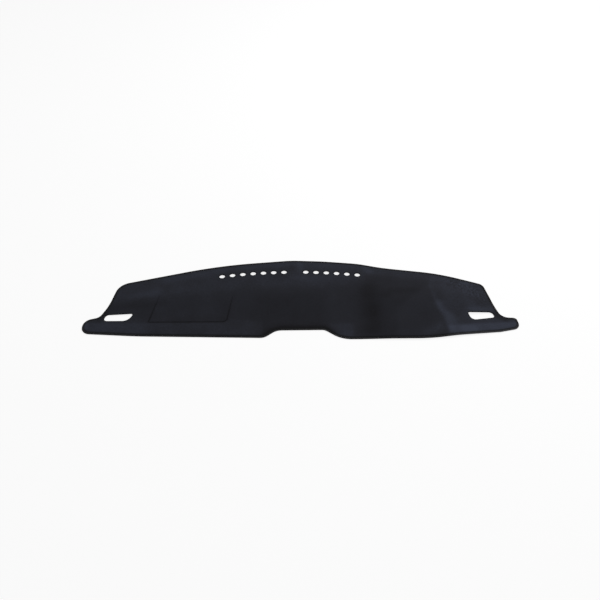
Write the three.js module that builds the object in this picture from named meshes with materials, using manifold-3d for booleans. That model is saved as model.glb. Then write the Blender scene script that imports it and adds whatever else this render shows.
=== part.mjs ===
// Dashboard cover mat: one cut cloth sheet with a tape folded over its outer edge.
// Millimetres, +Z up. X runs along the dashboard, +Y points at the windscreen.
import * as THREE from "three";
import { mergeVertices } from "three/addons/utils/BufferGeometryUtils.js";
import Module from "manifold-3d";

const wasm = await Module();
wasm.setup();

// Corners of the outer edge, counter-clockwise from above, as [x, y, corner radius]
const outerEdge = {
  leftLobeFront: [-749, -165, 46],
  frontLeftBend: [-560, -178, 1600],
  notchLeftFoot: [-125, -189, 39],
  notchLeftTop: [-83, -155, 50],
  notchRightTop: [81, -154, 29],
  notchRightFoot: [137, -197, 109],
  frontRightBend: [442, -197, 719],
  frontRightRise: [538, -183, 1200],
  rightFrontBend: [680, -169, 40],
  rightLobeFront: [752, -153, 27],
  rightLobeBack: [748, -104, 14],
  rightNeck: [698, -101, 40],
  rightSideBend: [683, -50, 928],
  rightBackCorner: [664, 63, 27],
  backRightSlope: [513, 123, 616],
  backRightHollow: [303, 156, 1380],
  backRightShoulder: [218, 180, 360],
  backRightCrest: [87, 195, 1055],
  backCrest: [-33, 201, 348],
  backLeftShoulder: [-299, 174, 1525],
  leftBackCorner: [-659, 74, 57],
  leftSideBend: [-676, -35, 432],
  leftNeck: [-699, -90, 28],
  leftLobeBack: [-750, -104, 34],
};

// Sheet and edge tape
const sheetThickness = 4;
const tapeThickness = 0.8;
const tapeReach = 7;
const tapeCrown = 0.3;
const seatGap = 0.4;

// Round demister holes, in two groups on one arc that is set back from the crest of the rear edge
const holeDiameter = 20.5;
const holePitch = 37.9;
const holeArcRadius = 1556;
const holeArcPeakX = -25;
const holeArcSetback = 67.5;
const leftHoles = { innermostX: -60, count: 7 };
const rightHoles = { innermostX: 21, count: 6 };

// Side vent openings: centre measured from the neck of the lobe, corners as [x, y, corner radius] from the centre
const leftVent = {
  fromNeck: [63, -1],
  corners: [
    [55, 18, 7],
    [-41.5, 13, 14],
    [-48, -16.5, 12],
    [37, -16.5, 32],
  ],
};
const rightVent = {
  fromNeck: [-69, 8],
  corners: [
    [39.5, 16.5, 15],
    [-47, 14, 6.5],
    [-38, -23, 18],
    [46, -9, 10],
  ],
};

// Airbag flap: a slit on three sides, as [x, y, corner radius] from one open end to the other
const flapSlit = [
  [-502, 7, 0],
  [-526, -115, 4],
  [-257, -115, 18],
  [-242, 2, 0],
];
const slitWidth = 1.2;

// Shape that the sheet keeps when it lies on a table: a low crown all along, and a rise for the instrument hood
const crown = { height: 7, frontY: -112, fadeFrom: 520, fadeTo: 720 };
const hood = {
  height: 8,
  leftFoot: 190,
  leftTop: 330,
  rightTop: 470,
  rightFoot: 720,
  frontFoot: -260,
  frontTop: -100,
  backTop: -50,
  backFoot: 115,
};

// Fineness of the facets
const columnStep = 36;
const rowStep = 24;
const edgeStep = 24;
const arcStep = THREE.MathUtils.degToRad(12);
const holeSides = 16;

// Smooth rise from 0 at a to 1 at b
function rise(a, b, value) {
  return THREE.MathUtils.smoothstep(value, a, b);
}

// Height of the sheet's underside over the table at a point
function lift(x, y) {
  const [cornerX, cornerY] = outerEdge.rightBackCorner;
  const crestY = outerEdge.backCrest[1];
  const backY = crestY - (crestY - cornerY) * (x / cornerX) ** 2;
  const across = (2 * (y - crown.frontY)) / (backY - crown.frontY) - 1;
  const arch = Math.abs(across) < 1 ? (1 - across ** 2) ** 2 : 0;
  const ends = 1 - rise(crown.fadeFrom, crown.fadeTo, Math.abs(x));
  const alongHood = rise(hood.leftFoot, hood.leftTop, x) * (1 - rise(hood.rightTop, hood.rightFoot, x));
  const acrossHood = rise(hood.frontFoot, hood.frontTop, y) * (1 - rise(hood.backTop, hood.backFoot, y));
  return crown.height * arch * ends + hood.height * alongHood * acrossHood;
}

// Height of the faceted sheet: the facets of a grid cell meet on its diagonal
function facetedLift(x, y) {
  const column = Math.floor(x / columnStep);
  const row = Math.floor(y / rowStep);
  const u = x / columnStep - column;
  const v = y / rowStep - row;
  const node = (i, k) => lift((column + i) * columnStep, (row + k) * rowStep);
  const near = node(0, 0);
  const far = node(1, 1);
  const side = u > v ? node(1, 0) : node(0, 1);
  return u > v ? near + u * (side - near) + v * (far - side) : near + v * (side - near) + u * (far - side);
}

// Stations along a path of rounded corners: points with the unit vector that points to the path's left
function roundedPath(corners, closed) {
  const stations = [];
  const at = (i) => new THREE.Vector2(...corners[(i + corners.length) % corners.length]);
  const leftOf = (direction) => new THREE.Vector2(-direction.y, direction.x);
  const setbacks = corners.map(([, , radius], i) => {
    if (!closed && (i === 0 || i === corners.length - 1)) return { radius: 0, length: 0 };
    const before = at(i - 1).sub(at(i));
    const after = at(i + 1).sub(at(i));
    const half = before.angleTo(after) / 2;
    const longest = 0.49 * Math.min(before.length(), after.length());
    const length = Math.min(radius / Math.tan(half), longest);
    return { radius: length * Math.tan(half), length };
  });
  corners.forEach((corner, i) => {
    if (!closed && i === corners.length - 1) return;
    const next = (i + 1) % corners.length;
    const along = at(next).sub(at(i));
    const span = along.length();
    along.normalize();
    const left = leftOf(along);
    const start = at(i).addScaledVector(along, setbacks[i].length);
    const straight = span - setbacks[i].length - setbacks[next].length;
    const steps = Math.max(1, Math.ceil(straight / edgeStep));
    for (let k = 0; k <= steps; k++) {
      const point = start.clone().addScaledVector(along, (straight * k) / steps);
      stations.push({ point, left: left.clone() });
    }
    if (!closed && next === corners.length - 1) return;
    const onward = at(next + 1).sub(at(next)).normalize();
    const turn = Math.atan2(along.cross(onward), along.dot(onward));
    const radius = setbacks[next].radius;
    const arcSteps = Math.max(Math.ceil(Math.abs(turn) / arcStep), Math.ceil((Math.abs(turn) * radius) / edgeStep));
    const toCentre = left.clone().multiplyScalar(Math.sign(turn));
    const centre = stations.at(-1).point.clone().addScaledVector(toCentre, radius);
    for (let k = 1; k < arcSteps; k++) {
      const angle = (turn * k) / arcSteps;
      const spoke = toCentre.clone().rotateAround(new THREE.Vector2(), angle);
      stations.push({
        point: centre.clone().addScaledVector(spoke, -radius),
        left: left.clone().rotateAround(new THREE.Vector2(), angle),
      });
    }
  });
  return stations;
}

// Outline that runs at a distance to the left of the stations
function offsetOutline(stations, distance) {
  return stations.map(({ point, left }) => point.clone().addScaledVector(left, distance));
}

// Upright prism through the whole height of the mat
function prism(outline) {
  const tall = sheetThickness + crown.height + hood.height + 2;
  const shape = new THREE.Shape(outline);
  return new THREE.ExtrudeGeometry(shape, { depth: tall, bevelEnabled: false }).translate(0, 0, -1);
}

// Slab of the lifted sheet between two levels of its thickness, on whole cells of the facet grid
function liftedSlab(outline, bottom, top) {
  const cell = new THREE.Vector2(columnStep, rowStep);
  const bounds = new THREE.Box2().setFromPoints(outline);
  const first = bounds.min.clone().divide(cell).floor();
  const count = bounds.max.clone().divide(cell).ceil().sub(first);
  const size = count.clone().multiply(cell);
  const corner = first.clone().multiply(cell);
  const plane = new THREE.PlaneGeometry(size.x, size.y, count.x, count.y);
  plane.translate(corner.x + size.x / 2, corner.y + size.y / 2, 0);
  const place = plane.getAttribute("position");
  const layer = (level) =>
    Array.from({ length: place.count }, (_, i) => {
      const [x, y] = [place.getX(i), place.getY(i)];
      return [x, y, level + lift(x, y)];
    }).flat();
  const indices = [...plane.index.array];
  for (let i = 0; i < plane.index.count; i += 3) {
    const [a, b, c] = plane.index.array.slice(i, i + 3);
    indices.push(a + place.count, c + place.count, b + place.count);
  }
  const vertex = (column, row) => column + (count.x + 1) * row;
  const rim = [
    ...Array.from({ length: count.x }, (_, i) => vertex(i, count.y)),
    ...Array.from({ length: count.y }, (_, i) => vertex(count.x, count.y - i)),
    ...Array.from({ length: count.x }, (_, i) => vertex(count.x - i, 0)),
    ...Array.from({ length: count.y }, (_, i) => vertex(0, i)),
  ];
  rim.forEach((here, i) => {
    const next = rim[(i + 1) % rim.length];
    indices.push(here + place.count, next + place.count, next);
    indices.push(here + place.count, next, here);
  });
  const slab = new THREE.BufferGeometry();
  slab.setAttribute("position", new THREE.Float32BufferAttribute([...layer(top), ...layer(bottom)], 3));
  slab.setIndex(indices);
  return slab;
}

function toSolid(geometry) {
  geometry.deleteAttribute("normal");
  geometry.deleteAttribute("uv");
  const merged = mergeVertices(geometry, 1e-4);
  return new wasm.Manifold(
    new wasm.Mesh({
      numProp: 3,
      vertProperties: merged.attributes.position.array,
      triVerts: new Uint32Array(merged.index.array),
    }),
  );
}

function toGeometry(solid) {
  const { vertProperties, triVerts } = solid.getMesh();
  const geometry = new THREE.BufferGeometry();
  geometry.setAttribute("position", new THREE.BufferAttribute(vertProperties, 3));
  geometry.setIndex(new THREE.BufferAttribute(triVerts, 1));
  geometry.computeVertexNormals();
  return geometry;
}

// Round holes of one group, stepping outwards from the one nearest the middle
function holeOutlines({ innermostX, count }) {
  return Array.from({ length: count }, (_, i) => {
    const x = innermostX + Math.sign(innermostX - holeArcPeakX) * i * holePitch;
    const peakY = outerEdge.backCrest[1] - holeArcSetback;
    const y = peakY - (x - holeArcPeakX) ** 2 / (2 * holeArcRadius);
    return new THREE.Path().absarc(x, y, holeDiameter / 2, 0, 2 * Math.PI).getSpacedPoints(holeSides).slice(1);
  });
}

function ventOutline({ fromNeck, corners }, neck) {
  const placed = corners.map(([x, y, radius]) => [x + fromNeck[0] + neck[0], y + fromNeck[1] + neck[1], radius]);
  return offsetOutline(roundedPath(placed, true), 0);
}

function slitOutline() {
  const stations = roundedPath(flapSlit, false);
  const outer = offsetOutline(stations, slitWidth / 2);
  const inner = offsetOutline(stations, -slitWidth / 2);
  return [...outer.reverse(), ...inner];
}

// Sheet: full thickness up to the tape, and a pressed margin that sits inside the folded tape
function makeSheet(stations) {
  const whole = offsetOutline(stations, 0);
  const face = offsetOutline(stations, tapeReach + seatGap);
  const margin = offsetOutline(stations, tapeThickness + seatGap);
  const pressed = tapeThickness + seatGap;
  const core = toSolid(liftedSlab(whole, 0, sheetThickness)).intersect(toSolid(prism(face)));
  const hem = toSolid(liftedSlab(whole, pressed, sheetThickness - pressed)).intersect(toSolid(prism(margin)));
  const cuts = [
    ...holeOutlines(leftHoles),
    ...holeOutlines(rightHoles),
    ventOutline(leftVent, outerEdge.leftNeck),
    ventOutline(rightVent, outerEdge.rightNeck),
    slitOutline(),
  ];
  const sheet = cuts.reduce((solid, outline) => solid.subtract(toSolid(prism(outline))), core.add(hem));
  return toGeometry(sheet);
}

// Section of the folded tape, as [distance in from the edge, height], counter-clockwise
function tapeSection() {
  const top = sheetThickness;
  const inner = tapeThickness;
  return [
    [tapeReach, 0],
    [tapeReach, inner],
    [inner, inner],
    [inner, top - inner],
    [tapeReach, top - inner],
    [tapeReach, top],
    [tapeReach / 2, top + tapeCrown],
    [inner, top],
    [0, top - 1.5 * inner],
    [0, 1.5 * inner],
    [inner, 0],
  ];
}

// Tape: the folded section carried once round the outer edge, at the height of the sheet
function makeBinding(stations) {
  const section = tapeSection();
  const positions = [];
  stations.forEach(({ point, left }) => {
    section.forEach(([inward, height]) => {
      const { x, y } = point.clone().addScaledVector(left, inward);
      positions.push(x, y, height + facetedLift(x, y));
    });
  });
  const indices = [];
  const at = (station, corner) =>
    (station % stations.length) * section.length + (corner % section.length);
  stations.forEach((_, i) => {
    section.forEach((__, k) => {
      indices.push(at(i, k), at(i, k + 1), at(i + 1, k + 1));
      indices.push(at(i, k), at(i + 1, k + 1), at(i + 1, k));
    });
  });
  const geometry = new THREE.BufferGeometry();
  geometry.setAttribute("position", new THREE.Float32BufferAttribute(positions, 3));
  geometry.setIndex(indices);
  geometry.computeVertexNormals();
  return geometry;
}

const brushedCloth = new THREE.MeshStandardMaterial({ color: 0x25262a, roughness: 0.95, metalness: 0 });
const wovenTape = new THREE.MeshStandardMaterial({ color: 0x1b1c1f, roughness: 0.85, metalness: 0 });

const edgeStations = roundedPath(Object.values(outerEdge), true);

const sheet = new THREE.Mesh(makeSheet(edgeStations), brushedCloth);
sheet.name = "mat_sheet";

const binding = new THREE.Mesh(makeBinding(edgeStations), wovenTape);
binding.name = "edge_binding";

// The origin is the middle of the mat's footprint, on the table
const mat = new THREE.Group();
mat.add(sheet, binding);
const footprint = new THREE.Box2().setFromPoints(offsetOutline(edgeStations, 0)).getCenter(new THREE.Vector2());
mat.position.set(-footprint.x, -footprint.y, 0);

export default mat;
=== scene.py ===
"""Dashboard cover mat: a brushed cloth sheet, its folded edge tape and the sewing thread."""
import math
from collections import namedtuple

import bmesh
import bpy
import numpy as np
from bpy.props import FloatProperty, FloatVectorProperty, PointerProperty
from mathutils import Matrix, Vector, geometry, kdtree, noise


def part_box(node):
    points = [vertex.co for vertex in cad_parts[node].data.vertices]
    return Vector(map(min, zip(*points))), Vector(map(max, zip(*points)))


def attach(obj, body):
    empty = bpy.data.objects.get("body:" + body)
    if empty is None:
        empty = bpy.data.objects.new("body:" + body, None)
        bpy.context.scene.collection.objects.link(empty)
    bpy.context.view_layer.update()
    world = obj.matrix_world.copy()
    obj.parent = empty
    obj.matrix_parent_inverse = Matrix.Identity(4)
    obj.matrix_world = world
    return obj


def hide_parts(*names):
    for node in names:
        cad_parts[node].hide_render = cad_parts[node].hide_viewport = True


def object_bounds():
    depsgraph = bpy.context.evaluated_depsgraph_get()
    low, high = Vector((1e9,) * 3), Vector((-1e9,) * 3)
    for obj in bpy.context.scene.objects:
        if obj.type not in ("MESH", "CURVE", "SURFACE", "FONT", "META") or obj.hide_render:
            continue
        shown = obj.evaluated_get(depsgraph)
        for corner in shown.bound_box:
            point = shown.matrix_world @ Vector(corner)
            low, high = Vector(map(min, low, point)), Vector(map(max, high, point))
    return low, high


bl_info = {
    "name": "Dashboard Cover Mat",
    "version": (1, 0, 0),
    "blender": (4, 5, 0),
    "location": "View3D > Sidebar > Dashboard Mat",
    "description": "Adds a bound cloth dashboard mat with its stitching, and a plain studio",
    "category": "Add Mesh",
}

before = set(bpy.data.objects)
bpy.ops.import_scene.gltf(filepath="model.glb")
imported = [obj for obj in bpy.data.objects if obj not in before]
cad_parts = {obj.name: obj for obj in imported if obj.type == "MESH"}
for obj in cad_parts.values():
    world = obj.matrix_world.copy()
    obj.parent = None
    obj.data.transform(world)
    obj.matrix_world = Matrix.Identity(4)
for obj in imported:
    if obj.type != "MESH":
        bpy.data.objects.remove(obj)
solid_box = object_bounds()

# Corners of the outer edge, counter-clockwise from above, as (x, y, corner radius) in metres
OUTER_EDGE = {
    "left_lobe_front": (-0.749, -0.165, 0.046),
    "front_left_bend": (-0.560, -0.178, 1.600),
    "notch_left_foot": (-0.125, -0.189, 0.039),
    "notch_left_top": (-0.083, -0.155, 0.050),
    "notch_right_top": (0.081, -0.154, 0.029),
    "notch_right_foot": (0.137, -0.197, 0.109),
    "front_right_bend": (0.442, -0.197, 0.719),
    "front_right_rise": (0.538, -0.183, 1.200),
    "right_front_bend": (0.680, -0.169, 0.040),
    "right_lobe_front": (0.752, -0.153, 0.027),
    "right_lobe_back": (0.748, -0.104, 0.014),
    "right_neck": (0.698, -0.101, 0.040),
    "right_side_bend": (0.683, -0.050, 0.928),
    "right_back_corner": (0.664, 0.063, 0.027),
    "back_right_slope": (0.513, 0.123, 0.616),
    "back_right_hollow": (0.303, 0.156, 1.380),
    "back_right_shoulder": (0.218, 0.180, 0.360),
    "back_right_crest": (0.087, 0.195, 1.055),
    "back_crest": (-0.033, 0.201, 0.348),
    "back_left_shoulder": (-0.299, 0.174, 1.525),
    "left_back_corner": (-0.659, 0.074, 0.057),
    "left_side_bend": (-0.676, -0.035, 0.432),
    "left_neck": (-0.699, -0.090, 0.028),
    "left_lobe_back": (-0.750, -0.104, 0.034),
}

# Round demister holes, in two groups on one arc that is set back from the crest of the rear edge
HOLE_ARC_RADIUS = 1.556
HOLE_ARC_PEAK_X = -0.025
HOLE_ARC_SETBACK = 0.0675
HOLE_GROUPS = {"left": (-0.060, 7), "right": (0.021, 6)}

# Side vent openings: centre measured from the neck of the lobe, corners from the centre
VENTS = {
    "left_neck": (
        (0.063, -0.001),
        ((0.055, 0.018, 0.007), (-0.0415, 0.013, 0.014), (-0.048, -0.0165, 0.012), (0.037, -0.0165, 0.032)),
    ),
    "right_neck": (
        (-0.069, 0.008),
        ((0.0395, 0.0165, 0.015), (-0.047, 0.014, 0.0065), (-0.038, -0.023, 0.018), (0.046, -0.009, 0.010)),
    ),
}

# Airbag flap: a slit on three sides, from one open end to the other
FLAP_SLIT = ((-0.502, 0.007, 0), (-0.526, -0.115, 0.004), (-0.257, -0.115, 0.018), (-0.242, 0.002, 0))

# Low crown all along the mat, and the rise for the instrument hood
CROWN = {"front_y": -0.112, "fade_from": 0.520, "fade_to": 0.720}
HOOD = {
    "left_foot": 0.190,
    "left_top": 0.330,
    "right_top": 0.470,
    "right_foot": 0.720,
    "front_foot": -0.260,
    "front_top": -0.100,
    "back_top": -0.050,
    "back_foot": 0.115,
}

# Fineness of the meshes
GRID_STEP = 0.0046
EDGE_STEP = 0.004
ARC_STEP = math.radians(6)
HOLE_SIDES = 44

# A path has unit vectors to its left. A cut has unit vectors into the cloth, and says how much the cloth
# round it
# is darkened: painted shade of the cut's edge, together with its pressed nap.
Path = namedtuple("Path", "points left")
Cut = namedtuple("Cut", "points into press")

# Tone of the cloth: 0 is the plain face, -1 the darkest, for painted shade and pressed nap, and 1 the
# lightest, for painted light and brushed-up nap
BASE_TONE = -0.13

# Areas of painted light and shade, together with the nap's own lie: corners of the area, width of its soft
# border, and change of tone
LightAndNapZone = namedtuple("LightAndNapZone", "corners softness tone")
LIGHT_AND_NAP_ZONES = {
    # Painted sheen along the rear of the mat
    "back_band": LightAndNapZone(
        (
            (-0.70, -0.01),
            (-0.42, 0.01),
            (-0.24, 0.03),
            (-0.15, 0.05),
            (0.16, 0.05),
            (0.25, 0.10),
            (0.48, 0.085),
            (0.48, 0.25),
            (-0.70, 0.25),
        ),
        0.025,
        0.24,
    ),
    "left_face": LightAndNapZone(((-0.75, 0.01), (-0.30, 0.01), (-0.28, -0.14), (-0.75, -0.14)), 0.025, 0.09),
    # Painted shade on the left flank of the hood's rise
    "hood_slope": LightAndNapZone(
        ((0.19, -0.25), (0.18, 0.0), (0.225, 0.05), (0.25, 0.10), (0.35, 0.09), (0.50, 0.08), (0.52, -0.25)),
        0.025,
        -0.15,
    ),
    # Painted light on the top of the hood's rise
    "hood_top": LightAndNapZone(
        (
            (0.325, -0.25),
            (0.335, -0.06),
            (0.41, 0.0),
            (0.46, 0.055),
            (0.475, 0.05),
            (0.490, -0.08),
            (0.505, -0.25),
        ),
        0.012,
        0.19,
    ),
    # Painted light over the right-hand end
    "right_wing": LightAndNapZone(
        (
            (0.500, 0.25),
            (0.478, 0.10),
            (0.462, 0.05),
            (0.470, -0.02),
            (0.480, -0.06),
            (0.495, -0.12),
            (0.500, -0.25),
            (0.85, -0.25),
            (0.85, 0.25),
        ),
        0.008,
        0.30,
    ),
    "left_front_strip": LightAndNapZone(
        ((-0.85, -0.118), (-0.26, -0.118), (-0.245, -0.10), (-0.13, -0.118), (-0.13, -0.25), (-0.85, -0.25)),
        0.005,
        0.19,
    ),
    "left_end_strip": LightAndNapZone(
        ((-0.85, -0.105), (-0.56, -0.105), (-0.46, -0.25), (-0.85, -0.25)),
        0.035,
        0.19,
    ),
    # Painted light on the right front strip
    "right_front_strip": LightAndNapZone(
        ((0.505, -0.25), (0.505, -0.145), (0.55, -0.140), (0.61, -0.132), (0.85, -0.116), (0.85, -0.25)),
        0.008,
        0.54,
    ),
    # Painted shade of a hollow in the middle
    "middle_hollow": LightAndNapZone(
        ((-0.17, 0.01), (0.09, 0.01), (0.09, -0.20), (-0.12, -0.20), (-0.17, -0.08)),
        0.035,
        -0.23,
    ),
    "notch_side": LightAndNapZone(((0.10, -0.125), (0.18, -0.125), (0.19, -0.25), (0.10, -0.25)), 0.012, 0.28),
}

# Streaks of painted light and shade, together with brushed and pressed nap: route, half width, change of
# tone, and height of the soft fold
LightAndNapMark = namedtuple("LightAndNapMark", "route half_width tone height")
LIGHT_AND_NAP_MARKS = {
    # Painted sheen along the rear edge
    "back_edge": LightAndNapMark(
        ((-0.48, 0.093), (-0.30, 0.143), (-0.16, 0.168), (0, 0.180), (0.19, 0.165)),
        0.018,
        0.15,
        0,
    ),
    "back_dip": LightAndNapMark(((-0.030, 0.168), (-0.028, 0.145)), 0.011, -0.12, 0),
    "back_streak_middle": LightAndNapMark(((0, 0.178), (0.004, 0.145)), 0.012, 0.23, 0),
    "back_streak_right": LightAndNapMark(((0.240, 0.158), (0.256, 0.133)), 0.016, 0.28, 0),
    "hole_row_left": LightAndNapMark(((-0.26, 0.122), (-0.07, 0.138)), 0.025, -0.13, 0),
    "below_right_holes": LightAndNapMark(((-0.01, 0.097), (0.11, 0.097)), 0.016, 0.15, 0),
    "left_patch": LightAndNapMark(((-0.60, 0.002), (-0.515, 0.028)), 0.020, 0.20, 0),
    "left_crease": LightAndNapMark(((-0.67, -0.045), (-0.56, -0.040), (-0.48, -0.028)), 0.012, -0.18, 0),
    "flap_front": LightAndNapMark(((-0.43, -0.105), (-0.28, -0.100)), 0.016, -0.16, 0),
    "beside_flap": LightAndNapMark(((-0.262, -0.10), (-0.255, -0.03)), 0.018, -0.14, 0),
    # Painted shade where the cloth rolls down at the notch
    "notch_edge": LightAndNapMark(
        ((-0.125, -0.192), (-0.096, -0.162), (-0.07, -0.151), (0.08, -0.151), (0.10, -0.166)),
        0.017,
        -0.95,
        0,
    ),
    # Painted shade in the valley beside the hood's rise
    "hood_valley": LightAndNapMark(((0.245, 0.035), (0.245, -0.02), (0.255, -0.12), (0.245, -0.15)), 0.036, -0.50, 0),
    "hood_valley_branch": LightAndNapMark(((0.30, 0.0), (0.33, 0.022), (0.41, 0.025)), 0.018, -0.30, 0),
    "hood_back": LightAndNapMark(((0.25, 0.102), (0.32, 0.102)), 0.020, -0.15, 0),
    "hood_dip": LightAndNapMark(((0.405, -0.125), (0.435, -0.105)), 0.028, -0.14, 0),
    "hood_front_corner": LightAndNapMark(((0.43, -0.175), (0.475, -0.150)), 0.020, 0.30, 0),
    # Painted highlight along the hood's crease, over a low real fold
    "hood_streak": LightAndNapMark(
        ((0.486, -0.045), (0.497, -0.075), (0.506, -0.10), (0.514, -0.155)),
        0.014,
        0.40,
        0.0008,
    ),
    "streak_foot": LightAndNapMark(((0.520, -0.09), (0.532, -0.13)), 0.014, 0.22, 0),
    "vent_rear": LightAndNapMark(((0.595, -0.066), (0.665, -0.066)), 0.012, 0.30, 0),
    "front_spot": LightAndNapMark(((0.562, -0.156), (0.59, -0.156)), 0.014, 0.44, 0),
    "back_spot_right": LightAndNapMark(((0.60, 0.068), (0.612, 0.062)), 0.016, 0.28, 0),
    "back_patch_right": LightAndNapMark(((0.500, 0.098), (0.545, 0.083)), 0.016, 0.14, 0),
    "right_dip": LightAndNapMark(((0.635, -0.027), (0.655, -0.02)), 0.018, -0.18, 0),
    "right_neck": LightAndNapMark(((0.683, -0.090), (0.71, -0.108)), 0.013, -0.55, 0),
    "left_neck": LightAndNapMark(((-0.680, -0.07), (-0.700, -0.10)), 0.012, -0.45, 0),
    "left_tip": LightAndNapMark(((-0.740, -0.125), (-0.740, -0.140)), 0.010, 0.45, 0),
}

# Patch near the right rear corner where the nap is brushed to and fro in small spots
SPOTTED_ROUTE = ((0.560, 0.070), (0.600, 0.045), (0.640, 0.002))
SPOTTED_HALF_WIDTH = 0.036


class DashMatSheetSettings(bpy.types.PropertyGroup):
    """Sizes and colours of the brushed cloth sheet."""

    thickness: FloatProperty(
        name="Thickness",
        description="Thickness of the laminated cloth",
        default=0.004,
        min=0.002,
        unit="LENGTH",
    )
    crown_height: FloatProperty(
        name="Crown Height",
        description="How far the sheet arches up between its front strip and its rear edge",
        default=0.007,
        min=0,
        unit="LENGTH",
    )
    hood_height: FloatProperty(
        name="Hood Rise",
        description="Height of the rise that sits over the instrument hood",
        default=0.008,
        min=0,
        unit="LENGTH",
    )
    hole_diameter: FloatProperty(
        name="Demister Hole",
        description="Diameter of the round demister holes",
        default=0.0205,
        min=0.005,
        unit="LENGTH",
    )
    hole_pitch: FloatProperty(
        name="Hole Pitch",
        description="Distance from one demister hole to the next",
        default=0.0379,
        min=0.006,
        unit="LENGTH",
    )
    lip_gap: FloatProperty(
        name="Slit Gap",
        description="Gap between the lips of the airbag flap's slit",
        default=0.0003,
        min=0.0001,
        unit="LENGTH",
    )
    # Darkest colour of the cloth, for painted shade and pressed nap; the felt underside uses it too
    shade_and_pressed_nap_colour: FloatVectorProperty(
        name="Painted Shade and Pressed Nap",
        description="Colour of the cloth where painted shade falls and its nap is pressed flat",
        default=(0.0070, 0.0068, 0.0080),
        subtype="COLOR",
    )
    face_colour: FloatVectorProperty(
        name="Nap",
        description="Colour of the cloth over most of its face",
        default=(0.0152, 0.0158, 0.0202),
        subtype="COLOR",
    )
    # Lightest, bluish colour of the cloth, for painted light and sheen with brushed-up nap
    light_and_raised_nap_colour: FloatVectorProperty(
        name="Painted Light and Raised Nap",
        description="Colour of the cloth where painted light falls and its nap is brushed up",
        default=(0.0340, 0.0385, 0.0545),
        subtype="COLOR",
    )


class DashMatTapeSettings(bpy.types.PropertyGroup):
    """Sizes and colour of the folded edge tape."""

    reach: FloatProperty(
        name="Reach",
        description="How far the folded tape reaches in from the mat's edge",
        default=0.007,
        min=0.004,
        unit="LENGTH",
    )
    thickness: FloatProperty(
        name="Thickness",
        description="Thickness of the tape",
        default=0.0007,
        min=0.0002,
        unit="LENGTH",
    )
    fold_depth: FloatProperty(
        name="Fold Depth",
        description="How far in from the edge the round of the fold ends",
        default=0.0026,
        min=0.001,
        unit="LENGTH",
    )
    # Painted shade on the tape's flat, sewn part
    shaded_flat_colour: FloatVectorProperty(
        name="Sewn Part",
        description="Colour of the tape's flat part, darkened by painted shade along the seam",
        default=(0.0050, 0.0050, 0.0056),
        subtype="COLOR",
    )
    # Painted highlight on the round of the tape's fold
    highlight_fold_colour: FloatVectorProperty(
        name="Fold",
        description="Colour of the tape on the round of its fold, lighter as a painted highlight",
        default=(0.0210, 0.0210, 0.0230),
        subtype="COLOR",
    )


class DashMatThreadSettings(bpy.types.PropertyGroup):
    """Sizes and colour of the sewing thread."""

    diameter: FloatProperty(
        name="Thread",
        description="Diameter of the sewing thread",
        default=0.00045,
        min=0.0001,
        unit="LENGTH",
    )
    stitch_length: FloatProperty(
        name="Stitch",
        description="Length of one stitch from needle hole to needle hole",
        default=0.0035,
        min=0.001,
        unit="LENGTH",
    )
    from_tape_edge: FloatProperty(
        name="Distance From Tape Edge",
        description="Distance of the row of stitches from the inner edge of the tape",
        default=0.0018,
        min=0.0005,
        unit="LENGTH",
    )
    colour: FloatVectorProperty(
        name="Thread",
        description="Colour of the sewing thread",
        default=(0.008, 0.008, 0.009),
        subtype="COLOR",
    )


class DashMatStageSettings(bpy.types.PropertyGroup):
    """Camera and floor."""

    elevation: FloatProperty(
        name="Elevation",
        description="Angle of the camera above the floor",
        default=math.radians(45),
        subtype="ANGLE",
        unit="ROTATION",
    )
    turn: FloatProperty(
        name="Turn",
        description="How far the camera looks towards the mat's right-hand end",
        default=math.radians(0.5),
        subtype="ANGLE",
        unit="ROTATION",
    )
    distance: FloatProperty(
        name="Distance",
        description="Distance of the camera from the point that it looks at",
        default=2.4,
        min=1,
        unit="LENGTH",
    )
    aim: FloatVectorProperty(
        name="Aim",
        description="Point on the floor that the camera looks at",
        default=(-0.0020, -0.0087, 0),
        subtype="XYZ",
        unit="LENGTH",
    )
    lens: FloatProperty(
        name="Lens",
        description="Focal length of the camera",
        default=40.37,
        unit="CAMERA",
    )
    floor_size: FloatProperty(
        name="Floor",
        description="Width of the floor",
        default=12,
        min=4,
        unit="LENGTH",
    )
    floor_colour: FloatVectorProperty(
        name="Floor",
        description="Colour of the floor",
        default=(0.90, 0.90, 0.90),
        subtype="COLOR",
    )


def smooth_rise(start, end, value):
    """Smooth step from 0 at start to 1 at end."""
    share = np.clip((value - start) / (end - start), 0, 1)
    return share * share * (3 - 2 * share)


def lift(x, y, sheet):
    """Height of the sheet's underside over the floor."""
    corner_x, corner_y, _ = OUTER_EDGE["right_back_corner"]
    crest_y = OUTER_EDGE["back_crest"][1]
    back_y = crest_y - (crest_y - corner_y) * (x / corner_x) ** 2
    across = 2 * (y - CROWN["front_y"]) / (back_y - CROWN["front_y"]) - 1
    arch = np.where(np.abs(across) < 1, (1 - across**2) ** 2, 0)
    ends = 1 - smooth_rise(CROWN["fade_from"], CROWN["fade_to"], np.abs(x))
    along_hood = smooth_rise(HOOD["left_foot"], HOOD["left_top"], x)
    along_hood = along_hood * (1 - smooth_rise(HOOD["right_top"], HOOD["right_foot"], x))
    across_hood = smooth_rise(HOOD["front_foot"], HOOD["front_top"], y)
    across_hood = across_hood * (1 - smooth_rise(HOOD["back_top"], HOOD["back_foot"], y))
    return sheet.crown_height * arch * ends + sheet.hood_height * along_hood * across_hood


def distance_to_route(points, route):
    """Distance of each point to a route of straight stretches."""
    nearest = np.full(len(points), np.inf)
    for start, end in zip(route, route[1:]):
        start, along = np.array(start), np.subtract(end, start)
        share = np.clip((points - start) @ along / (along @ along), 0, 1)
        gap = np.linalg.norm(points - start - share[:, None] * along, axis=1)
        nearest = np.minimum(nearest, gap)
    return nearest


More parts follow.
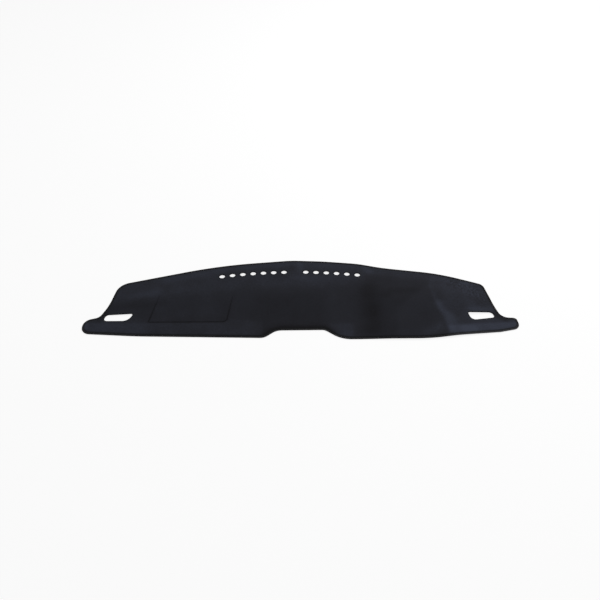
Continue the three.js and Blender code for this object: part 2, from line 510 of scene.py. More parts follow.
def light_tone_and_folds(points):
    """Tone of painted light and shade, with the nap's lie, and height of the soft folds at each point."""
    tone = np.full(len(points), BASE_TONE)
    height = np.zeros(len(points))
    for zone in LIGHT_AND_NAP_ZONES.values():
        from_border = distance_to_route(points, zone.corners + zone.corners[:1])
        signed = np.where(inside(zone.corners, points), from_border, -from_border)
        tone += zone.tone * smooth_rise(-zone.softness, zone.softness, signed)
    for mark in LIGHT_AND_NAP_MARKS.values():
        weight = np.exp(-((distance_to_route(points, mark.route) / mark.half_width) ** 2))
        tone += mark.tone * weight
        height += mark.height * weight
    return tone, height


def sheet_height(points, sheet):
    """Height of the sheet's underside with its soft folds and ripples."""
    base = lift(points[:, 0], points[:, 1], sheet)
    _, folds = light_tone_and_folds(points)
    ripple_size, ripple_height, full_lift = 0.09, 0.0006, 0.004
    ripple = np.array([noise.noise(Vector((x, y, 0)) / ripple_size) for x, y in points])
    return base + folds + ripple_height * ripple * np.clip(base / full_lift, 0, 1)


def rounded_path(corners, closed, step):
    """Points and left-hand unit vectors along a path of rounded corners."""
    count, largest_setback = len(corners), 0.49
    at = [np.array(corner[:2], float) for corner in corners]
    radii = [corner[2] for corner in corners]
    setbacks = []
    for i in range(count):
        if not closed and i in (0, count - 1):
            setbacks.append((0, 0))
            continue
        before, after = at[i - 1] - at[i], at[(i + 1) % count] - at[i]
        shortest = min(np.linalg.norm(before), np.linalg.norm(after))
        cosine = before @ after / np.linalg.norm(before) / np.linalg.norm(after)
        half = math.acos(np.clip(cosine, -1, 1)) / 2
        length = min(radii[i] / math.tan(half), largest_setback * shortest)
        setbacks.append((length * math.tan(half), length))
    points, lefts = [], []
    for i in range(count if closed else count - 1):
        after = (i + 1) % count
        along = at[after] - at[i]
        span = np.linalg.norm(along)
        along = along / span
        left = np.array((-along[1], along[0]))
        start = at[i] + along * setbacks[i][1]
        straight = span - setbacks[i][1] - setbacks[after][1]
        steps = max(1, math.ceil(straight / step))
        for k in range(steps + 1):
            points.append(start + along * straight * k / steps)
            lefts.append(left)
        if not closed and after == count - 1:
            break
        onward = at[(after + 1) % count] - at[after]
        onward = onward / np.linalg.norm(onward)
        turn = math.atan2(along[0] * onward[1] - along[1] * onward[0], along @ onward)
        radius = setbacks[after][0]
        arc_steps = max(math.ceil(abs(turn) / ARC_STEP), math.ceil(abs(turn) * radius / step))
        to_centre = left * math.copysign(1, turn)
        centre = points[-1] + to_centre * radius
        for k in range(1, arc_steps):
            angle = turn * k / arc_steps
            spin = np.array(((math.cos(angle), -math.sin(angle)), (math.sin(angle), math.cos(angle))))
            points.append(centre - spin @ to_centre * radius)
            lefts.append(spin @ left)
    return Path(np.array(points), np.array(lefts))


def even_stations(path, count):
    """Closed path sampled again at even distances."""
    closed = np.vstack((path.points, path.points[:1]))
    lengths = np.concatenate(((0,), np.cumsum(np.linalg.norm(np.diff(closed, axis=0), axis=1))))
    wanted = np.arange(count) * lengths[-1] / count
    lefts = np.vstack((path.left, path.left[:1]))
    points = np.column_stack([np.interp(wanted, lengths, closed[:, k]) for k in (0, 1)])
    left = np.column_stack([np.interp(wanted, lengths, lefts[:, k]) for k in (0, 1)])
    return Path(points, left / np.linalg.norm(left, axis=1)[:, None])


def outer_path():
    """Outer edge of the mat, in the outline's own coordinates."""
    return rounded_path(list(OUTER_EDGE.values()), True, EDGE_STEP)


def path_length(path):
    return np.linalg.norm(path.points - np.roll(path.points, -1, axis=0), axis=1).sum()


def to_row_frame():
    """Offset from the outline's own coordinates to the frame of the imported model."""
    lowest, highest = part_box("edge_binding")
    points = outer_path().points
    middle = (points.min(axis=0) + points.max(axis=0)) / 2
    return np.array(((lowest + highest) / 2)[:2]) - middle


def hole_cuts(sheet):
    """Cuts of the round demister holes, each group stepping outwards from the middle."""
    angles = np.linspace(0, 2 * math.pi, HOLE_SIDES, endpoint=False)
    out = np.column_stack((np.cos(angles), np.sin(angles)))
    peak_y = OUTER_EDGE["back_crest"][1] - HOLE_ARC_SETBACK
    # Darkening round each hole: painted shade of its edge, together with pressed nap
    press = 0.55
    cuts = []
    for innermost_x, count in HOLE_GROUPS.values():
        side = math.copysign(1, innermost_x - HOLE_ARC_PEAK_X)
        for i in range(count):
            x = innermost_x + side * i * sheet.hole_pitch
            y = peak_y - (x - HOLE_ARC_PEAK_X) ** 2 / (2 * HOLE_ARC_RADIUS)
            cuts.append(Cut(np.array((x, y)) + out * sheet.hole_diameter / 2, out, press))
    return cuts


def vent_cuts():
    """Cuts of the two side vent openings."""
    # Darkening round each vent: painted shade of its edge, together with pressed nap
    step, press = 0.002, 0.40
    cuts = []
    for neck_name, (from_neck, corners) in VENTS.items():
        neck_x, neck_y, _ = OUTER_EDGE[neck_name]
        placed = [(x + from_neck[0] + neck_x, y + from_neck[1] + neck_y, radius) for x, y, radius in corners]
        path = rounded_path(placed, True, step)
        cuts.append(Cut(path.points, -path.left, press))
    return cuts


def slit_cut():
    """Cut of the flap's slit: a loop that runs up one side of its line and back down the other."""
    step, end_points = 0.003, 3
    line = rounded_path(FLAP_SLIT, False, step)
    points, into = list(line.points), list(line.left)

    def round_end(tip, left, forward):
        for k in range(1, end_points + 1):
            angle = math.pi * k / (end_points + 1)
            points.append(tip)
            into.append(left * math.cos(angle) + forward * math.sin(angle))

    forward = np.array((line.left[-1][1], -line.left[-1][0]))
    round_end(line.points[-1], line.left[-1], forward)
    points.extend(line.points[::-1])
    into.extend(-line.left[::-1])
    backward = -np.array((line.left[0][1], -line.left[0][0]))
    round_end(line.points[0], -line.left[0], backward)
    points = np.array(points)
    # The slit's darkening, painted shade of its lips together with pressed nap, is strongest at the front and
    # fades towards the back
    full_y, faded_y = -0.10, 0.01
    press = 0.75 - 0.55 * smooth_rise(full_y, faded_y, points[:, 1])
    return Cut(points, np.array(into), press)


def inside(polygon, points):
    """True for each point that lies inside the closed polygon."""
    x, y = points.T
    result = np.zeros(len(points), bool)
    for (ax, ay), (bx, by) in zip(polygon, np.roll(polygon, -1, axis=0)):
        if ay == by:
            continue
        crosses = (ay > y) != (by > y)
        result ^= crosses & (x < (bx - ax) * (y - ay) / (by - ay) + ax)
    return result


def tape_top(inward, sheet, tape, thread):
    """Height of the tape's upper face over the sheet's underside, at a distance in from the edge."""
    swell, edge_drop, groove, groove_width = 0.0001, 0.0006, 0.00022, 0.0005
    stitch_line = tape.reach - thread.from_tape_edge
    middle = sheet.thickness / 2
    if inward < tape.fold_depth:
        round_share = 1 - inward / tape.fold_depth
        return middle + (middle + swell) * math.sqrt(max(0, 1 - round_share**2))
    fall = edge_drop * float(smooth_rise(tape.fold_depth, stitch_line, inward))
    dip = groove * math.exp(-(((inward - stitch_line) / groove_width) ** 2))
    return sheet.thickness + swell - fall - dip


def sheet_edge_profile(sheet, tape, thread):
    """Rings of the sheet along its outer edge, as (distance in, face, underside, share of the darkening); the
    darkening is painted shade of the seam's groove, together with its pressed nap.
    """
    clearance, shoulder_width, shade_width = 0.00008, 0.0017, 0.0032
    rings = []
    for share in (0.2, 0.4, 0.6, 0.74, 0.9, 1.0):
        inward = tape.reach * share
        top = tape_top(inward, sheet, tape, thread) - tape.thickness - clearance
        rings.append((inward, min(top, 0.8 * sheet.thickness), 1))
    depth = sheet.thickness - rings[-1][1]
    for past in (0.0004, 0.0009, 0.0015, 0.0023, 0.0033, 0.0046):
        top = sheet.thickness - depth * math.exp(-past / shoulder_width)
        rings.append((tape.reach + past, top, math.exp(-((past / shade_width) ** 2))))
    return [(inward, top, sheet.thickness - top, press) for inward, top, press in rings]


def cut_profile(sheet, gap, lip):
    """Rings round a cut, as (distance into the cloth, face, underside, share of the darkening); the darkening
    is painted shade of the cut's edge, together with its pressed nap.
    """
    shade_width = 0.0028
    rings = []
    for share, drop in ((0, 0.55), (0.12, 0.28), (0.35, 0.10), (0.8, 0.02), (1.5, 0), (2.6, 0)):
        top = sheet.thickness - drop * lip
        press = math.exp(-((share * lip / shade_width) ** 2))
        rings.append((gap + share * lip, top, sheet.thickness - top, press))
    return rings


def seam_shade(left):
    """Strength of the painted shade along the seam, together with its pressed nap: strongest along the front
    edge.
    """
    back_shade, front_shade = 0.35, 1.1
    return back_shade + (front_shade - back_shade) * np.clip(left[:, 1], 0, 1)


class SheetBuilder:
    """Gathers rings and inner points, triangulates them and closes them to a cloth of one thickness."""

    def __init__(self):
        self.points = []
        self.tops = []
        self.bottoms = []
        # Darkening of each point: painted shade of the edges, together with pressed nap
        self.press = []
        self.edges = []
        self.voids = []

    def add_cut(self, cut, profile):
        """Adds the rings of a cut; the first ring bounds the void."""
        for order, (distance, top, bottom, press) in enumerate(profile):
            ring = cut.points + cut.into * distance
            first = len(self.points)
            count = len(ring)
            self.points.extend(ring)
            self.tops.extend([top] * count)
            self.bottoms.extend([bottom] * count)
            self.press.extend(press * cut.press * np.ones(count))
            self.edges.extend((first + i, first + (i + 1) % count) for i in range(count))
            if order == 0:
                self.voids.append(range(first, first + count))

    def add_inner_points(self, outer_ring, hole_rings, sheet):
        """Fills the face with a staggered grid that keeps clear of the rings."""
        tree = kdtree.KDTree(len(self.points))
        for i, (x, y) in enumerate(self.points):
            tree.insert((x, y, 0), i)
        tree.balance()
        row_step, clear_of_rings = GRID_STEP * math.sqrt(3) / 2, 0.62 * GRID_STEP
        low, high = outer_ring.min(axis=0), outer_ring.max(axis=0)
        grid = [
            (low[0] + (column + 0.5 * (row % 2)) * GRID_STEP, low[1] + row * row_step)
            for row in range(int((high[1] - low[1]) / row_step) + 1)
            for column in range(int((high[0] - low[0]) / GRID_STEP) + 1)
        ]
        grid = np.array(grid)
        keep = inside(outer_ring, grid)
        for ring in hole_rings:
            keep &= ~inside(ring, grid)
        grid = [(x, y) for x, y in grid[keep] if tree.find((x, y, 0))[2] > clear_of_rings]
        self.points.extend(np.array(grid))
        self.tops.extend([sheet.thickness] * len(grid))
        self.bottoms.extend([0] * len(grid))
        self.press.extend([0] * len(grid))

    def triangles(self):
        """Triangles of the face, as indices into the points. A void is what only its own ring bounds."""
        all_faces, merge_distance = 0, 1e-7
        points = [Vector(point) for point in self.points]
        result = geometry.delaunay_2d_cdt(points, self.edges, [], all_faces, merge_distance, True)
        vertices, _, faces, origins, _, _ = result
        if len(vertices) != len(self.points):
            raise RuntimeError(f"the rings of the cloth meet: {len(vertices)} of {len(self.points)} points")
        source = np.array([origin[0] for origin in origins])
        faces = source[np.array(faces)]
        void_of = np.full(len(self.points), -1)
        for number, ring in enumerate(self.voids):
            void_of[list(ring)] = number
        a, b, c = void_of[faces].T
        return faces[(a < 0) | (a != b) | (b != c)]


def make_object(name, vertices, faces, materials, smooth=True):
    """Mesh object in the row frame, at the origin."""
    mesh = bpy.data.meshes.new(name)
    vertices = np.array(vertices, float)
    vertices[:, :2] += to_row_frame()
    mesh.from_pydata(vertices.tolist(), [], [list(face) for face in faces])
    for material in materials:
        mesh.materials.append(material)
    mesh.polygons.foreach_set("use_smooth", [smooth] * len(mesh.polygons))
    piece = bpy.data.objects.new(name, mesh)
    bpy.context.scene.collection.objects.link(piece)
    return piece


def set_point_values(piece, name, values):
    attribute = piece.data.attributes.new(name, "FLOAT", "POINT")
    attribute.data.foreach_set("value", values)


def face_outwards(piece):
    """Turns every face of a closed mesh to look outwards."""
    editable = bmesh.new()
    editable.from_mesh(piece.data)
    bmesh.ops.recalc_face_normals(editable, faces=editable.faces)
    editable.to_mesh(piece.data)
    editable.free()


def make_sheet(settings):
    """The cloth sheet with its pressed edge, holes, vents and flap slit."""
    sheet, tape, thread = settings.dashmat_sheet, settings.dashmat_tape, settings.dashmat_thread
    lip, slit_lip = 0.0012, 0.00138
    builder = SheetBuilder()
    outer = outer_path()
    edge_rings = sheet_edge_profile(sheet, tape, thread)
    builder.add_cut(Cut(outer.points, outer.left, seam_shade(outer.left)), edge_rings)
    cuts = [(cut, cut_profile(sheet, 0, lip)) for cut in hole_cuts(sheet) + vent_cuts()]
    cuts.append((slit_cut(), cut_profile(sheet, sheet.lip_gap / 2, slit_lip)))
    for cut, profile in cuts:
        builder.add_cut(cut, profile)
    last_ring = outer.points + outer.left * edge_rings[-1][0]
    hole_rings = [cut.points + cut.into * profile[-1][0] for cut, profile in cuts]
    builder.add_inner_points(last_ring, hole_rings, sheet)
    face = builder.triangles()
    points = np.array(builder.points)
    height = sheet_height(points, sheet)
    top = np.column_stack((points, height + builder.tops))
    bottom = np.column_stack((points, height + builder.bottoms))
    vertices = list(top) + list(bottom)
    below = len(points)
    faces = [tuple(f) for f in face] + [tuple(f[::-1] + below) for f in face]
    under_side = [0] * len(face) + [1] * len(face)
    for void in builder.voids:
        ring = list(void)
        for here, after in zip(ring, ring[1:] + ring[:1]):
            faces.append((here, here + below, after + below, after))
            under_side.append(0)
    materials = [brushed_cloth_material(sheet), backing_material(sheet)]
    piece = make_object("brushed_sheet", vertices, faces, materials)
    piece.data.polygons.foreach_set("material_index", under_side)
    # Tone of painted light and shade, darkened further by the painted shade round the cuts and along the seam
    tone, _ = light_tone_and_folds(points)
    tone -= builder.press
    set_point_values(piece, "light_and_nap_tone", np.concatenate((tone, tone)))
    spots = np.exp(-((distance_to_route(points, SPOTTED_ROUTE) / SPOTTED_HALF_WIDTH) ** 2))
    set_point_values(piece, "spot_share", np.concatenate((spots, spots)))
    face_outwards(piece)
    return piece


def tape_section(sheet, tape, thread, dimple):
    """Closed section of the folded tape, as (distance in from the edge, height)."""
    thickness = sheet.thickness
    stitch_line, dimple_width = tape.reach - thread.from_tape_edge, 0.0007
    upper, flat_shares = [], (1.0, 0.985, 0.93, 0.86, 0.8, 0.742, 0.68, 0.6, 0.48)
    for share in flat_shares:
        distance = tape.reach * share
        near_hole = math.exp(-(((distance - stitch_line) / dimple_width) ** 2))
        height = tape_top(distance, sheet, tape, thread) - dimple * near_hole
        if share == flat_shares[0]:
            height -= tape.thickness / 2
        upper.append((distance, height))
    fold, fold_steps = [], 8
    for angle in np.linspace(0, math.pi, fold_steps + 1):
        distance = tape.fold_depth * (1 - math.sin(angle))
        rise = tape_top(distance, sheet, tape, thread) - thickness / 2
        fold.append((distance, thickness / 2 + math.copysign(rise, math.cos(angle))))
    lower = [(distance, thickness - height) for distance, height in reversed(upper)]
    outside = upper + fold + lower
    inner = [(distance, height - tape.thickness) for distance, height in upper[1::3]]
    inner_fold = (2 * tape.thickness, thickness / 2)
    mirrored = [(distance, thickness - height) for distance, height in reversed(inner)]
    section = outside + list(reversed(inner + [inner_fold] + mirrored))
    return [(distance, max(height, 0)) for distance, height in section]


def make_tape(settings):
    """The folded tape, pulled down at every needle hole."""
    sheet, tape, thread = settings.dashmat_sheet, settings.dashmat_tape, settings.dashmat_thread
    path = stitch_path(thread)
    dimple, waver_size, waver_depth = 0.00016, 0.012, 0.00012
    at_hole = np.array(tape_section(sheet, tape, thread, dimple))
    at_stitch = np.array(tape_section(sheet, tape, thread, 0))
    sides = len(at_hole)
    count = len(path.points)
    vertices, plan = [], []
    for i in range(count):
        section = at_hole if i % 2 == 0 else at_stitch
        x, y = path.points[i]
        waver = noise.noise(Vector((x, y, 3)) / waver_size) * waver_depth
        inward = section[:, 0] - waver * (1 - section[:, 0] / tape.reach)
        ground = path.points[i] + path.left[i] * inward[:, None]
        vertices.append(np.column_stack((ground, section[:, 1])))
        plan.append(inward)
    vertices = np.vstack(vertices)
    vertices[:, 2] += sheet_height(vertices[:, :2], sheet)
    # The round of the fold gets the painted highlight and the flat part the painted shade
    full_to, none_from = 0.35 * tape.fold_depth, 1.1 * tape.fold_depth
    fold_highlight_share = 1 - smooth_rise(full_to, none_from, np.concatenate(plan))
    tone, _ = light_tone_and_folds(vertices[:, :2])
    faces = []
    for i in range(count):
        here, after = i * sides, (i + 1) % count * sides
        for k in range(sides):
            beside = (k + 1) % sides
            faces.append((here + k, here + beside, after + beside, after + k))
    piece = make_object("edge_tape", vertices, faces, [tape_material(tape)])
    along = piece.data.attributes.new("along_tape", "FLOAT", "CORNER")
    step = path_length(path) / count
    values = [(i + extra) * step for i in range(count) for _ in range(sides) for extra in (0, 0, 1, 1)]
    along.data.foreach_set("value", values)
    set_point_values(piece, "fold_highlight_share", fold_highlight_share)
    set_point_values(piece, "light_and_nap_tone", tone)
    face_outwards(piece)
    return piece


def stitch_path(thread):
    """Outer edge at two stations for each stitch: a needle hole and the middle of a stitch."""
    outer = outer_path()
    stitches = round(path_length(outer) / thread.stitch_length)
    return even_stations(outer, 2 * stitches)


def make_stitching(settings):
    """The row of stitches on the tape, over and under."""
    sheet, tape, thread = settings.dashmat_sheet, settings.dashmat_tape, settings.dashmat_thread
    path = stitch_path(thread)
    stitch_line = tape.reach - thread.from_tape_edge
    radius = thread.diameter / 2
    surface = tape_top(stitch_line, sheet, tape, thread)
    sides, slant = 6, 0.00008
    # Rings of half a stitch, as (place along the stitch, rise in thread radii, share of the thread's radius)
    half_rings = [(0.14, 0.8, 1), (0.36, 0.35, 0.95), (0.47, -0.45, 0.7)]
    rings = [(-share, rise, size) for share, rise, size in reversed(half_rings)] + half_rings
    angles = np.linspace(0, 2 * math.pi, sides, endpoint=False)
    vertices, faces = [], []
    count = len(path.points)
    line = path.points + path.left * stitch_line
    for middle in range(1, count, 2):
        tip, tail = line[(middle + 1) % count], line[middle - 1]
        along = tip - tail
        across = path.left[middle]
        for sign in (1, -1):
            first = len(vertices)
            for share, rise, size in rings:
                centre = line[middle] + along * share + across * slant * sign * share * 2
                level = surface + rise * radius
                level = level if sign > 0 else max(sheet.thickness - level, radius)
                for angle in angles:
                    ground = centre + across * math.cos(angle) * radius * size
                    vertices.append((*ground, level + math.sin(angle) * radius * size))
            for k in range(len(rings) - 1):
                for j in range(sides):
                    a, b = first + k * sides + j, first + k * sides + (j + 1) % sides
                    faces.append((a, b, b + sides, a + sides))
            last = first + (len(rings) - 1) * sides
            faces.append(tuple(range(first + sides - 1, first - 1, -1)))
            faces.append(tuple(range(last, last + sides)))
    vertices = np.array(vertices)
    vertices[:, 2] += sheet_height(vertices[:, :2], sheet)
    piece = make_object("edge_stitching", vertices, faces, [thread_material(thread)])
    face_outwards(piece)
    return piece


def set_inputs(tree, node, inputs):
    """Links each input that is given a socket, and sets the others."""
    for name, value in inputs.items():
        if isinstance(value, bpy.types.NodeSocket):
            tree.links.new(value, node.inputs[name])
        else:
            node.inputs[name].default_value = value


def add_node(tree, kind, inputs=None, **attributes):
    """Adds a node, sets its attributes, and sets or links its inputs."""
    node = tree.nodes.new(kind)
    for name, value in attributes.items():
        setattr(node, name, value)
    set_inputs(tree, node, inputs or {})
    return node


def math_node(tree, operation, first, second=0.0, added=0.0):
    """Result of a sum; the last value is what MULTIPLY_ADD adds."""
    return add_node(tree, "ShaderNodeMath", {0: first, 1: second, 2: added}, operation=operation).outputs[0]


def noise_node(tree, place, scale, detail):
    """Noise from 0 to 1 over the surface."""
    inputs = {"Vector": place, "Scale": scale, "Detail": detail}
    return add_node(tree, "ShaderNodeTexNoise", inputs).outputs["Fac"]


def mesh_values(tree, name):
    """Values that the mesh itself carries."""
    return add_node(tree, "ShaderNodeAttribute", attribute_name=name).outputs["Fac"]


def bump_node(tree, strength, distance, height):
    """Normal of a surface with this fine relief."""
    inputs = {"Strength": strength, "Distance": distance, "Height": height}
    return add_node(tree, "ShaderNodeBump", inputs).outputs[0]


def mixed_colour(tree, share, first, second):
    """Colour that goes from the first to the second."""
    inputs = {"Factor": share, "A": colour(first), "B": colour(second)}
    return add_node(tree, "ShaderNodeMix", inputs, data_type="RGBA").outputs["Result"]


def shaded_colour(tree, tint, brightness):
    """Colour that is made lighter or darker over the surface."""
    inputs = {0: tint, "Scale": brightness}
    return add_node(tree, "ShaderNodeVectorMath", inputs, operation="SCALE").outputs[0]


def fibre_group():
    """Node group of short brushed fibres: a tone and a height that vary over the surface."""
    name, fibre_share, clump_share, middle = "Brushed Fibres", 0.6, 0.4, 0.5
    if name in bpy.data.node_groups:
        return bpy.data.node_groups[name]
    tree = bpy.data.node_groups.new(name, "ShaderNodeTree")
    for socket in ("Fibre Scale", "Clump Scale", "Stretch"):
        tree.interface.new_socket(socket, in_out="INPUT", socket_type="NodeSocketFloat")
    for socket in ("Tone", "Height"):
        tree.interface.new_socket(socket, in_out="OUTPUT", socket_type="NodeSocketFloat")
    given = add_node(tree, "NodeGroupInput").outputs
    place = add_node(tree, "ShaderNodeTexCoord").outputs["Object"]
    shrink = math_node(tree, "DIVIDE", 1.0, given["Stretch"])
    scale = add_node(tree, "ShaderNodeCombineXYZ", {"X": 1.0, "Y": shrink, "Z": 1.0}).outputs[0]
    stretched = add_node(tree, "ShaderNodeVectorMath", {0: place, 1: scale}, operation="MULTIPLY").outputs[0]
    fibres = noise_node(tree, stretched, given["Fibre Scale"], 3.0)
    clumps = noise_node(tree, place, given["Clump Scale"], 2.0)
    height = math_node(tree, "MULTIPLY", clumps, clump_share)
    height = math_node(tree, "MULTIPLY_ADD", fibres, fibre_share, height)
    tone = math_node(tree, "SUBTRACT", height, middle)
    add_node(tree, "NodeGroupOutput", {"Tone": tone, "Height": height})
    return tree


def fibre_node(tree, fibre_scale, clump_scale, stretch):
    """Tone and height of the fibres, with a material's own fineness."""
    inputs = {"Fibre Scale": fibre_scale, "Clump Scale": clump_scale, "Stretch": stretch}
    return add_node(tree, "ShaderNodeGroup", inputs, node_tree=fibre_group()).outputs


def new_material(name):
    """Material with an empty tree, and its Principled shader."""
    material = bpy.data.materials.new(name)
    material.use_nodes = True
    tree = material.node_tree
    tree.nodes.clear()
    shader = add_node(tree, "ShaderNodeBsdfPrincipled")
    add_node(tree, "ShaderNodeOutputMaterial", {"Surface": shader.outputs[0]})
    return material, tree, shader


def colour(value):
    return (*value, 1.0)


def brushed_cloth_material(sheet):
    """Black brushed cloth: fine fibres, cloudy nap, spots, and a tone of painted light and shade with brushed
    and pressed nap.
    """
    cloud_strength, spot_strength, fibre_strength, middle = 0.5, 2.1, 1.2, 0.5
    material, tree, shader = new_material("Brushed Cloth")
    fibres = fibre_node(tree, 900.0, 160.0, 3.0)
    place = add_node(tree, "ShaderNodeTexCoord").outputs["Object"]
    clouds = math_node(tree, "SUBTRACT", noise_node(tree, place, 14.0, 4.0), middle)
    spots = math_node(tree, "SUBTRACT", noise_node(tree, place, 125.0, 2.0), middle)
    spots = math_node(tree, "MULTIPLY", spots, mesh_values(tree, "spot_share"))
    tone = math_node(tree, "MULTIPLY_ADD", clouds, cloud_strength, mesh_values(tree, "light_and_nap_tone"))
    tone = math_node(tree, "MULTIPLY_ADD", spots, spot_strength, tone)
    tone = math_node(tree, "MULTIPLY_ADD", fibres["Tone"], fibre_strength, tone)
    # The ramp runs from the darkest colour, for painted shade, through the face colour to the lightest, for
    # painted light
    ramp = add_node(tree, "ShaderNodeValToRGB", {"Fac": math_node(tree, "MULTIPLY_ADD", tone, 0.5, middle)})
    stops = ramp.color_ramp.elements
    stops[0].color = colour(sheet.shade_and_pressed_nap_colour)
    stops[1].color = colour(sheet.light_and_raised_nap_colour)
    stops.new(middle).color = colour(sheet.face_colour)
    looks = {
        "Base Color": ramp.outputs["Color"],
        "Roughness": math_node(tree, "MULTIPLY_ADD", fibres["Tone"], 0.2, 0.93),
        "Normal": bump_node(tree, 0.5, 0.0004, fibres["Height"]),
        "Specular IOR Level": 0.05,
        "Sheen Weight": 0.02,
        "Sheen Roughness": 0.5,
        "Sheen Tint": (0.80, 0.85, 1.0, 1.0),
    }
    set_inputs(tree, shader, looks)
    return material


def backing_material(sheet):
    """Underside of the cloth: plain short felt."""
    material, tree, shader = new_material("Felt Underside")
    fibres = fibre_node(tree, 500.0, 220.0, 1.0)
    share = math_node(tree, "MULTIPLY_ADD", fibres["Tone"], 1.5, 0.5)
    looks = {
        "Base Color": mixed_colour(tree, share, sheet.shade_and_pressed_nap_colour, sheet.face_colour),
        "Normal": bump_node(tree, 0.6, 0.0004, fibres["Height"]),
        "Roughness": 0.97,
        "Specular IOR Level": 0.1,
    }
    set_inputs(tree, shader, looks)
    return material


def tape_material(tape):
    """Woven tape: fine ribs across its width, painted shade on its flat part and a painted highlight on its
    fold, lighter still where the cloth beside it has painted light.
    """
    rib_pitch, painted_light_strength, fibre_strength = 0.0009, 2.5, 1.2
    material, tree, shader = new_material("Woven Tape")
    turns = math_node(tree, "MULTIPLY", mesh_values(tree, "along_tape"), 2 * math.pi / rib_pitch)
    ribs = math_node(tree, "MULTIPLY_ADD", math_node(tree, "SINE", turns), 0.5, 0.5)
    fibres = fibre_node(tree, 1500.0, 300.0, 1.0)
    tint = mixed_colour(tree, mesh_values(tree, "fold_highlight_share"), tape.shaded_flat_colour, tape.highlight_fold_colour)
    # Painted light carried over from the cloth beside the tape
    painted_light = math_node(tree, "MAXIMUM", mesh_values(tree, "light_and_nap_tone"), 0.0)
    brightness = math_node(tree, "MULTIPLY_ADD", fibres["Tone"], fibre_strength, 1.0)
    brightness = math_node(tree, "MULTIPLY_ADD", painted_light, painted_light_strength, brightness)
    looks = {
        "Base Color": shaded_colour(tree, tint, brightness),
        "Normal": bump_node(tree, 0.5, 0.00015, math_node(tree, "ADD", ribs, fibres["Height"])),
        "Roughness": 0.85,
        "Specular IOR Level": 0.08,
    }
    set_inputs(tree, shader, looks)
    return material


def thread_material(thread):
    """Twisted polyester thread."""
    material, tree, shader = new_material("Sewing Thread")
    fibres = fibre_node(tree, 4000.0, 900.0, 1.0)
    brightness = math_node(tree, "MULTIPLY_ADD", fibres["Tone"], 1.5, 1.0)
    looks = {
        "Base Color": shaded_colour(tree, thread.colour, brightness),
        "Normal": bump_node(tree, 0.5, 0.0001, fibres["Height"]),
        "Roughness": 0.5,
    }
    set_inputs(tree, shader, looks)
    return material


def seen_directly(tree):
    """1 for what the camera sees itself, in a gloss or through glass."""
    path = add_node(tree, "ShaderNodeLightPath").outputs
    seen = math_node(tree, "MAXIMUM", path["Is Camera Ray"], path["Is Glossy Ray"])
    return math_node(tree, "MAXIMUM", seen, path["Is Transmission Ray"])


def floor_material(stage):
    """Pale floor that looks white to the camera and keeps the object's shadow."""
    material = bpy.data.materials.new("Pale Floor")
    material.use_nodes = True
    tree, whiteness = material.node_tree, 0.85
    tree.nodes.clear()
    matt = add_node(tree, "ShaderNodeBsdfDiffuse", {"Color": colour(stage.floor_colour)}).outputs[0]
    white = add_node(tree, "ShaderNodeEmission", {"Strength": 1.0}).outputs[0]
    white_share = math_node(tree, "MULTIPLY", seen_directly(tree), whiteness)
    mixed = add_node(tree, "ShaderNodeMixShader", {0: white_share, 1: matt, 2: white}).outputs[0]
    add_node(tree, "ShaderNodeOutputMaterial", {"Surface": mixed})
    return material


def set_world():
    """Even light from all round, with a white background for the camera."""
    world = bpy.data.worlds.new("Studio")
    world.use_nodes = True
    tree = world.node_tree
    tree.nodes.clear()
    ambient = 0.5
    strength = math_node(tree, "MULTIPLY_ADD", seen_directly(tree), 1 - ambient, ambient)
    background = add_node(tree, "ShaderNodeBackground", {"Color": (1, 1, 1, 1), "Strength": strength})
    add_node(tree, "ShaderNodeOutputWorld", {"Surface": background.outputs[0]})
    bpy.context.scene.world = world


def add_lamp(name, place, size, power, aim):
    """Square soft lamp that faces a point."""
    data = bpy.data.lights.new(name, "AREA")
    data.size = size
    data.energy = power
    lamp = bpy.data.objects.new(name, data)
    lamp.location = place
    lamp.rotation_euler = (Vector(aim) - Vector(place)).to_track_quat("-Z", "Y").to_euler()
    bpy.context.scene.collection.objects.link(lamp)


class DASHMAT_OT_add_stage(bpy.types.Operator):
    """Adds the floor, the lamp, the world and the camera"""

    bl_idname = "dashmat.add_stage"
    bl_label = "Add Stage"

    def execute(self, context):
        stage = context.scene.dashmat_stage
        floor_gap, lamp_place, lamp_size, lamp_power = 0.0002, (1.7, 1.9, 2.6), 2.2, 100
        half = stage.floor_size / 2
        level = solid_box[0].z - floor_gap
        mesh = bpy.data.meshes.new("floor")
        corners = [(-half, -half, level), (half, -half, level), (half, half, level), (-half, half, level)]
        mesh.from_pydata(corners, [], [(0, 1, 2, 3)])
        mesh.materials.append(floor_material(stage))
        floor = bpy.data.objects.new("floor", mesh)
        context.scene.collection.objects.link(floor)
        set_world()
        aim = Vector(stage.aim)
        add_lamp("key_lamp", lamp_place, lamp_size, lamp_power, aim)
        camera_data = bpy.data.cameras.new("camera")
        camera_data.lens = stage.lens
        camera = bpy.data.objects.new("camera", camera_data)
        flat = math.cos(stage.elevation)
        looks = Vector((math.sin(stage.turn) * flat, math.cos(stage.turn) * flat, -math.sin(stage.elevation)))
        camera.location = aim - looks * stage.distance
        camera.rotation_euler = looks.to_track_quat("-Z", "Y").to_euler()
        context.scene.collection.objects.link(camera)
        context.scene.camera = camera
        context.scene.view_settings.view_transform = "Standard"
        return {"FINISHED"}


class DASHMAT_OT_add_tape(bpy.types.Operator):
    """Adds the tape that is folded over the mat's edge"""

    bl_idname = "dashmat.add_tape"
    bl_label = "Add Edge Tape"

    def execute(self, context):
        tape = make_tape(context.scene)
        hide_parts("edge_binding")
        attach(tape, "root")
        return {"FINISHED"}


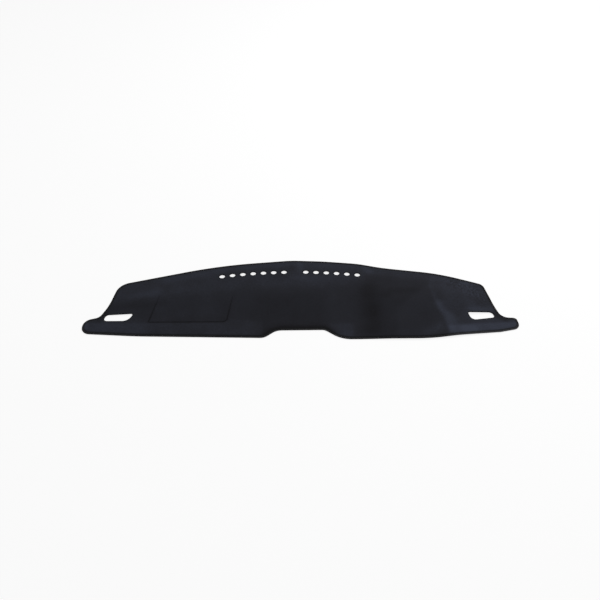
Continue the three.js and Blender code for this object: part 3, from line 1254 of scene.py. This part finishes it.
class DASHMAT_OT_add_stitching(bpy.types.Operator):
    """Adds the stitches that hold the tape down"""

    bl_idname = "dashmat.add_stitching"
    bl_label = "Add Stitching"

    def execute(self, context):
        stitching = make_stitching(context.scene)
        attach(stitching, "root")
        return {"FINISHED"}


class DASHMAT_OT_add_sheet(bpy.types.Operator):
    """Adds the brushed cloth sheet with its holes, vents and flap slit"""

    bl_idname = "dashmat.add_sheet"
    bl_label = "Add Cloth Sheet"

    def execute(self, context):
        sheet = make_sheet(context.scene)
        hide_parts("mat_sheet")
        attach(sheet, "root")
        outline = outer_path().points
        cuts = hole_cuts(context.scene.dashmat_sheet) + vent_cuts()
        return {"FINISHED"}


class DASHMAT_PT_sidebar(bpy.types.Panel):
    """Lists the mat's operators and its sizes and colours"""

    bl_idname = "DASHMAT_PT_sidebar"
    bl_label = "Dashboard Mat"
    bl_space_type = "VIEW_3D"
    bl_region_type = "UI"
    bl_category = "Dashboard Mat"

    def draw(self, context):
        for operator, group in OPERATOR_SETTINGS.items():
            column = self.layout.column(align=True)
            column.operator(operator)
            settings = getattr(context.scene, group)
            for name in settings.bl_rna.properties.keys():
                if name not in ("rna_type", "name"):
                    column.prop(settings, name)


SETTINGS = {
    "dashmat_sheet": DashMatSheetSettings,
    "dashmat_tape": DashMatTapeSettings,
    "dashmat_thread": DashMatThreadSettings,
    "dashmat_stage": DashMatStageSettings,
}
OPERATOR_SETTINGS = {
    "dashmat.add_stage": "dashmat_stage",
    "dashmat.add_tape": "dashmat_tape",
    "dashmat.add_stitching": "dashmat_thread",
    "dashmat.add_sheet": "dashmat_sheet",
}
CLASSES = (
    *SETTINGS.values(),
    DASHMAT_OT_add_stage,
    DASHMAT_OT_add_tape,
    DASHMAT_OT_add_stitching,
    DASHMAT_OT_add_sheet,
    DASHMAT_PT_sidebar,
)


def register():
    for cls in CLASSES:
        bpy.utils.register_class(cls)
    for name, group in SETTINGS.items():
        setattr(bpy.types.Scene, name, PointerProperty(type=group))


def unregister():
    for name in SETTINGS:
        delattr(bpy.types.Scene, name)
    for cls in reversed(CLASSES):
        bpy.utils.unregister_class(cls)


def main():
    register()
    bpy.ops.dashmat.add_stage()
    bpy.ops.dashmat.add_tape()
    bpy.ops.dashmat.add_stitching()
    bpy.ops.dashmat.add_sheet()


if __name__ == "__main__":
    main()
